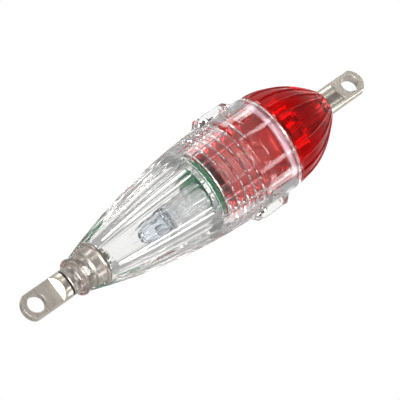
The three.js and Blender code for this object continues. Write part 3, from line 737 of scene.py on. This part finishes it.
def beside(made):
    """Moves a piece from the lamp's own axis to its place beside the housing's axis."""
    made.data.transform(Matrix.Rotation(LIGHT_TURN, 4, "Z"))
    made.data.transform(Matrix.Translation((LIGHT_OFFSET * MM, 0, 0)))
    return made


def led_lamp():
    dome = arc(20, 0, math.pi / 2, lambda a: (LED_RADIUS * math.sin(a) if a else 0,
                                              LED_TIP + LED_RADIUS * (1 - math.cos(a))))
    flange_top = LED_BASE - LED_FLANGE_HEIGHT
    lens = turned("led_lamp_fine", dome + soft([
        (LED_RADIUS, flange_top - 0.6), (LED_RADIUS, flange_top), (LED_FLANGE_RADIUS, flange_top),
        (LED_FLANGE_RADIUS, LED_BASE), (0.6, LED_BASE)], 0.12, closed=False) + [(0, LED_BASE)], 96)
    finish_piece(beside(lens), EPOXY, "housing", "lens_epoxy", "led_lamp")


def led_leads():
    """Each lead: a head inside the lens, a neck, and a straight leg down to the board."""
    for name, side, head, top in LEAD_HEADS:
        near = LEAD_OFFSET - LEAD_THICKNESS / 2
        far = LEAD_OFFSET + LEAD_THICKNESS / 2
        outer = far + LEAD_HEAD_REACH
        inner = outer - head
        end = span(name)[1]
        outline = [(inner + 0.15, top), (far + 0.2, top), (outer, top + 0.5), (outer, LEAD_HEAD_END),
                   (far, LEAD_NECK_END), (far, end), (near, end), (near, LEAD_NECK_END),
                   (inner, LEAD_HEAD_END), (inner, top + 0.4)]
        lead = slab(name + "_fine", [(side * x, d) for x, d in outline], LEAD_THICKNESS)
        finish_piece(bevelled(beside(lead), 0.05, 2), LEAD, "housing", "lead_wire", name)


def led_spacer():
    top, bottom = span("led_spacer")
    spacer = turned("led_spacer_fine", soft([
        (SPACER_BORE, top), (SPACER_RADIUS, top), (SPACER_RADIUS, top + 1.3),
        (SPACER_WAIST, top + 1.5), (SPACER_WAIST, top + 3.2), (SPACER_RADIUS, top + 3.4),
        (SPACER_RADIUS, bottom), (SPACER_BORE, bottom)], 0.12))
    finish_piece(weighted(beside(spacer)), SPACER, "housing", "spacer_plastic", "led_spacer")


def circuit_board():
    board = turned("circuit_board_fine", soft([
        (0, BOARD_TOP), (BOARD_RADIUS, BOARD_TOP), (BOARD_RADIUS, BOARD_END), (0, BOARD_END)],
        0.08, closed=False), 128)
    finish_piece(weighted(board), BOARD, "housing", "board", "circuit_board")


def board_parts():
    """The blinker circuit's chips and the ring contact, all on the board."""
    for name, material, slot in (("flasher_chip", CHIP, "chip_body"),
                                 ("timing_resistor", CHIP, "chip_body"),
                                 ("timing_capacitor", CERAMIC, "chip_ceramic")):
        chip = block(name + "_fine", *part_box(name))
        finish_piece(bevelled(chip, 0.08), material, "housing", slot, name)
    ring = turned("ring_contact_fine",
                  soft(ring_profile(*RING_CONTACT_RADII, *span("ring_contact")), 0.06), 128)
    finish_piece(weighted(ring), BRASS, "housing", "contact_brass", "ring_contact")


def contact_spring():
    """A conical spring, widest at the board."""
    wide, narrow = SPRING_RADII
    coil = []
    steps = 60 * SPRING_TURNS
    for k in range(steps + 1):
        t = k / steps
        angle = t * SPRING_TURNS * 2 * math.pi
        radius = wide - (wide - narrow) * t
        coil.append((radius * math.cos(angle), radius * math.sin(angle),
                     -SPRING_TOP - SPRING_LENGTH * t))
    spring = wire("contact_spring_fine", coil, SPRING_WIRE)
    finish_piece(spring, STEEL, "housing", "spring_steel", "contact_spring")


# ---- Battery pack ---------------------------------------------------------------------------------

def battery_cells():
    for number in (1, 2, 3):
        name = f"battery_cell_{number}"
        top, bottom = span(name)
        step = bottom - CELL_POLE_HEIGHT
        radius = reach(name)
        cell = turned(name + "_fine", soft([
            (0, top), (radius - 0.9, top), (radius, top + 0.25), (radius, step - 0.35),
            (radius - 0.35, step), (5.0, step), (4.85, bottom), (0, bottom)],
            0.2, closed=False), 96)
        finish_piece(weighted(cell), CELL, "battery_pack", "cell_steel", name)


def battery_sleeve():
    outer = reach("battery_sleeve")
    sleeve = turned("battery_sleeve_fine", soft(
        ring_profile(outer - SLEEVE_THICKNESS, outer, *span("battery_sleeve")), 0.05))
    finish_piece(weighted(sleeve), FILM, "battery_pack", "sleeve_film", "battery_sleeve")


def negative_strip():
    """An L: a straight strip beside the cells and a foot under the last one."""
    top, bottom = span("negative_strip")
    inner, outer = STRIP_RADII
    foot = bottom - STRIP_THICKNESS
    strip = slab("negative_strip_fine", [
        (inner, top), (outer, top), (outer, bottom), (STRIP_FOOT_REACH, bottom),
        (STRIP_FOOT_REACH, foot), (inner, foot)], STRIP_WIDTH, math.pi / 2)
    finish_piece(bevelled(strip, 0.06, 2), BRASS, "battery_pack", "contact_brass", "negative_strip")


# ---- Screw cap ------------------------------------------------------------------------------------

def dome_radius(depth):
    t = (depth - DOME_START) / (DOME_END - DOME_START)
    return DOME_RADIUS - (DOME_RADIUS - DOME_END_RADIUS) * max(t, 0) ** DOME_POWER


def dome_surface(angle, depth):
    """The dome with its raised ribs and the slightly sunk panels between them."""
    radius = dome_radius(depth)
    turn = (angle - FRONT) * DOME_RIDGES / (2 * math.pi)
    off = abs(turn - round(turn)) * 2 * math.pi / DOME_RIDGES * radius
    rib = 1 - smoothstep(*DOME_RIB_WIDTHS, off)
    sunk = DOME_PANEL_DEPTH * smoothstep(DOME_START + 0.55, DOME_START + 1.0, depth)
    sunk *= 1 - 0.6 * smoothstep(DOME_END - 2.5, DOME_END, depth)
    return radius - sunk * (1 - rib)


def screw_cap():
    rows = [("plain", r, d) for r, d in soft([
        (CAP_BORE, SKIRT_TIP + 1.0), (CAP_BORE, SKIRT_TIP), (SKIRT_RADIUS, SKIRT_TIP),
        (SKIRT_RADIUS, SKIRT_TIP + 0.25)], 0.2, closed=False)]
    rows += [("thread", SKIRT_RADIUS, d)
             for d in arc(104, SKIRT_TIP + 0.3, PLAIN_START - 0.1, lambda d: d)]
    rows += [("plain", r, d) for r, d in soft([
        (PLAIN_RADIUS, PLAIN_START + 0.3), (PLAIN_RADIUS, GROOVE_START), (GROOVE_RADIUS, GROOVE_START),
        (GROOVE_RADIUS, DOME_START), (DOME_RADIUS, DOME_START), (DOME_RADIUS, DOME_START + 0.4)],
        0.12, closed=False)]
    rows += [("dome", 0, d) for d in arc(8, DOME_START + 0.45, DOME_START + 1.05, lambda d: d)]
    rows += [("dome", 0, d) for d in arc(34, DOME_START + 1.4, DOME_END - 0.12, lambda d: d)]
    rows += [("plain", r, d) for r, d in soft([
        (DOME_END_RADIUS - 0.12, DOME_END), (SEAT_RADIUS, DOME_END), (SEAT_RADIUS, SEAT_DEPTH),
        (SHANK_HOLE, SEAT_DEPTH), (SHANK_HOLE, NUT_BORE_END), (NUT_BORE, NUT_BORE_END),
        (NUT_BORE, CAP_BORE_END), (CAP_BORE, CAP_BORE_END), (CAP_BORE, 60.0)], 0.15, closed=False)]
    angles = even_angles(DOME_RIDGES * 14)

    def place(row, angle):
        kind, radius, depth = row
        if kind == "thread":
            return radius + (MALE_CREST - radius) * thread_height(angle, depth, THREAD_START), depth
        if kind == "dome":
            return dome_surface(angle, depth), depth
        return radius, depth

    made = grid("screw_cap_fine", rows, angles, place)
    return finish_piece(weighted(made), RED, "cap", "red_plastic", "screw_cap")


def cap_seal():
    seal = turned("cap_seal_fine", round_section(*CAP_SEAL, (GROOVE_START + DOME_START) / 2), 128)
    finish_piece(seal, MILKY, "cap", "clear_rubber", "cap_seal")


def cap_contact():
    top, bottom = span("cap_contact")
    plate = turned("cap_contact_fine", soft([
        (0, top), (CAP_CONTACT_RADIUS, top), (CAP_CONTACT_RADIUS, bottom), (0, bottom)],
        0.08, closed=False))
    finish_piece(weighted(plate), STEEL, "cap", "spring_steel", "cap_contact")


def cap_eye_seal():
    seal = turned("cap_eye_seal_fine", round_section(*EYE_SEAL))
    finish_piece(seal, BLACK, "cap", "black_rubber", "cap_eye_seal")


def cap_eye_nut():
    top, bottom = span("cap_eye_nut")
    corner = reach("cap_eye_nut", 1)
    corners = [FRONT + math.pi / 3 * k for k in range(6)]
    outline = [(corner * math.cos(a), corner * math.sin(a)) for a in corners]
    vertices = [(x, y, -d) for d in (top, bottom) for x, y in outline]
    faces = [tuple(range(6)), tuple(range(11, 5, -1))]
    faces += [(i, (i + 1) % 6, 6 + (i + 1) % 6, 6 + i) for i in range(6)]
    nut = piece("cap_eye_nut_fine", vertices, faces, smooth=False)
    drill = turned("cutter", [
        (0, top - 1), (NUT_HOLE, top - 1), (NUT_HOLE, bottom + 1), (0, bottom + 1)], 48)
    combine(nut, drill, "DIFFERENCE")
    finish_piece(bevelled(nut, 0.15), BRASS, "cap", "contact_brass", "cap_eye_nut")


# ---- Studio ---------------------------------------------------------------------------------------

def studio():
    """The floor, the sky, the softboxes and the flags."""
    glowing_floor()
    dim_sky()
    for name, azimuth, height, distance, width, tall, power in SOFTBOXES:
        angle = math.radians(azimuth)
        place = Vector((math.sin(angle) * distance, -math.cos(angle) * distance, height))
        area_light(name, place, LAMP_MIDDLE, width, tall, power)
    for number, (azimuth, half_angle, grey, seen_through) in enumerate(FLAGS, 1):
        angle = math.radians(azimuth)
        out = Vector((math.sin(angle), -math.cos(angle), 0)) * FLAG_DISTANCE
        card = flag(f"flag_{number}", out, FLAG_DISTANCE * math.tan(math.radians(half_angle)), grey)
        card.visible_transmission = seen_through


def card_of_light(name, half_width, half_height):
    """A flat rectangle facing +Z, with sizes in metres and an emission shader still to be driven."""
    across, up = half_width / MM, half_height / MM
    card = piece(name, [(-across, -up, 0), (across, -up, 0), (across, up, 0), (-across, up, 0)],
                 [(0, 1, 2, 3)])
    n = Nodes(name)
    glow = n.add("ShaderNodeEmission")
    n.link(glow.outputs["Emission"], n.output.inputs["Surface"])
    card.data.materials.append(n.material)
    return card, n, glow


def glowing_floor():
    """Glows like a light table, darker in front of the lamp and grey at both sides."""
    floor, n, glow = card_of_light("studio_floor", FLOOR_HALF, FLOOR_HALF)
    floor.location = (0, 0, FLOOR)
    coordinates = n.add("ShaderNodeTexCoord")
    centred = n.add("ShaderNodeVectorMath", operation="SUBTRACT")
    centred.inputs[1].default_value = FLOOR_DARK_CENTRE
    flat = n.add("ShaderNodeVectorMath", operation="MULTIPLY")
    flat.inputs[1].default_value = (1, 1, 0)
    away = n.add("ShaderNodeVectorMath", operation="LENGTH")
    n.link(coordinates.outputs["Object"], centred.inputs[0])
    n.link(centred.outputs["Vector"], flat.inputs[0])
    n.link(flat.outputs["Vector"], away.inputs[0])
    sideways = n.add("ShaderNodeSeparateXYZ")
    n.link(centred.outputs["Vector"], sideways.inputs["Vector"])
    beside_lamp = n.add("ShaderNodeMath", operation="ABSOLUTE")
    n.link(sideways.outputs["X"], beside_lamp.inputs[0])
    beyond = n.add("ShaderNodeMath", operation="MULTIPLY_ADD")
    n.link(sideways.outputs["Y"], beyond.inputs[0])
    beyond.inputs[1].default_value = -FLOOR_SPREAD
    n.link(beside_lamp.outputs["Value"], beyond.inputs[2])
    share = n.add("ShaderNodeMath", operation="MULTIPLY")
    for index, (source, radii, inner, outer) in enumerate((
            (away.outputs["Value"], FLOOR_DARK_RADII, FLOOR_DARK, 1.0),
            (beyond.outputs["Value"], FLOOR_BRIGHT_WIDTH, 1.0, FLOOR_SIDES))):
        shade = n.add("ShaderNodeMapRange", interpolation_type="SMOOTHSTEP")
        for key, value in zip(("From Min", "From Max", "To Min", "To Max"), (*radii, inner, outer)):
            shade.inputs[key].default_value = value
        n.link(source, shade.inputs["Value"])
        n.link(shade.outputs["Result"], share.inputs[index])
    n.link(share.outputs["Value"], glow.inputs["Strength"])


def dim_sky():
    """A grey sky, dimmest at the horizon and below, brightest overhead."""
    world = bpy.data.worlds.new("studio_air")
    bpy.context.scene.world = world
    world.use_nodes = True
    tree = world.node_tree
    sky = tree.nodes["Background"]
    coordinates = tree.nodes.new("ShaderNodeTexCoord")
    split = tree.nodes.new("ShaderNodeSeparateXYZ")
    ramp = tree.nodes.new("ShaderNodeValToRGB")
    tree.links.new(coordinates.outputs["Generated"], split.inputs["Vector"])
    tree.links.new(split.outputs["Z"], ramp.inputs["Fac"])
    tree.links.new(ramp.outputs["Color"], sky.inputs["Color"])
    while len(ramp.color_ramp.elements) < len(SKY):
        ramp.color_ramp.elements.new(0.5)
    for element, (position, grey) in zip(ramp.color_ramp.elements, SKY):
        element.position = position
        element.color = (grey, grey, grey, 1)


def flag(name, out, half_width, grey):
    """A grey card beside the lamp, hidden from the camera's direct view."""
    card, n, glow = card_of_light(name, half_width, FLAG_TALL / 2)
    card.location = out + Vector((0, 0, FLAG_HEIGHT))
    card.rotation_euler = (-out).to_track_quat("Z", "Y").to_euler()
    glow.inputs["Color"].default_value = (grey, grey, grey, 1)
    card.visible_camera = False
    return card


def area_light(name, place, target, width, tall, power):
    light = bpy.data.lights.new(name, "AREA")
    light.energy = power
    light.shape = "RECTANGLE"
    light.size = width
    light.size_y = tall
    lamp = bpy.data.objects.new(name, light)
    lamp.location = place
    direction = Vector(target) - Vector(place)
    lamp.rotation_euler = direction.to_track_quat("-Z", "Y").to_euler()
    bpy.context.collection.objects.link(lamp)
    return lamp


def camera():
    """Looks down on the hanging lamp, rolled so that it runs from lower left to upper right."""
    turn = math.radians(3.2)
    elevation = math.radians(22)
    roll = math.radians(35)
    distance = 0.4167
    target_height = -0.0421
    target_aside = 0.0017
    outward = Vector((math.sin(turn) * math.cos(elevation), -math.cos(turn) * math.cos(elevation),
                      math.sin(elevation)))
    down = Vector((0, 0, -1))
    along = (down - outward * down.dot(outward)).normalized()
    beside = outward.cross(along)
    right = along * math.cos(roll) - beside * math.sin(roll)
    up = along * math.sin(roll) + beside * math.cos(roll)
    target = Vector((0, 0, target_height)) - beside * target_aside
    data = bpy.data.cameras.new("camera")
    data.lens = 180
    data.sensor_width = 36
    view = bpy.data.objects.new("camera", data)
    axes = Matrix((right, up, outward)).transposed().to_4x4()
    view.matrix_world = Matrix.Translation(target + outward * distance) @ axes
    bpy.context.collection.objects.link(view)
    bpy.context.scene.camera = view


def light_paths():
    cycles = bpy.context.scene.cycles
    cycles.max_bounces = 40
    cycles.transmission_bounces = 40
    cycles.glossy_bounces = 12
    cycles.diffuse_bounces = 6
    cycles.transparent_max_bounces = 24
    bpy.context.scene.view_settings.view_transform = "Standard"


camera()
light_paths()
studio()
tail_eye()
swivel_barrel()
swivel_seals()
stem_retainer()
clear_housing()
led_lamp()
led_leads()
led_spacer()
circuit_board()
board_parts()
contact_spring()
battery_cells()
battery_sleeve()
negative_strip()
screw_cap()
cap_eye()
cap_seal()
cap_contact()
cap_eye_seal()
cap_eye_nut()
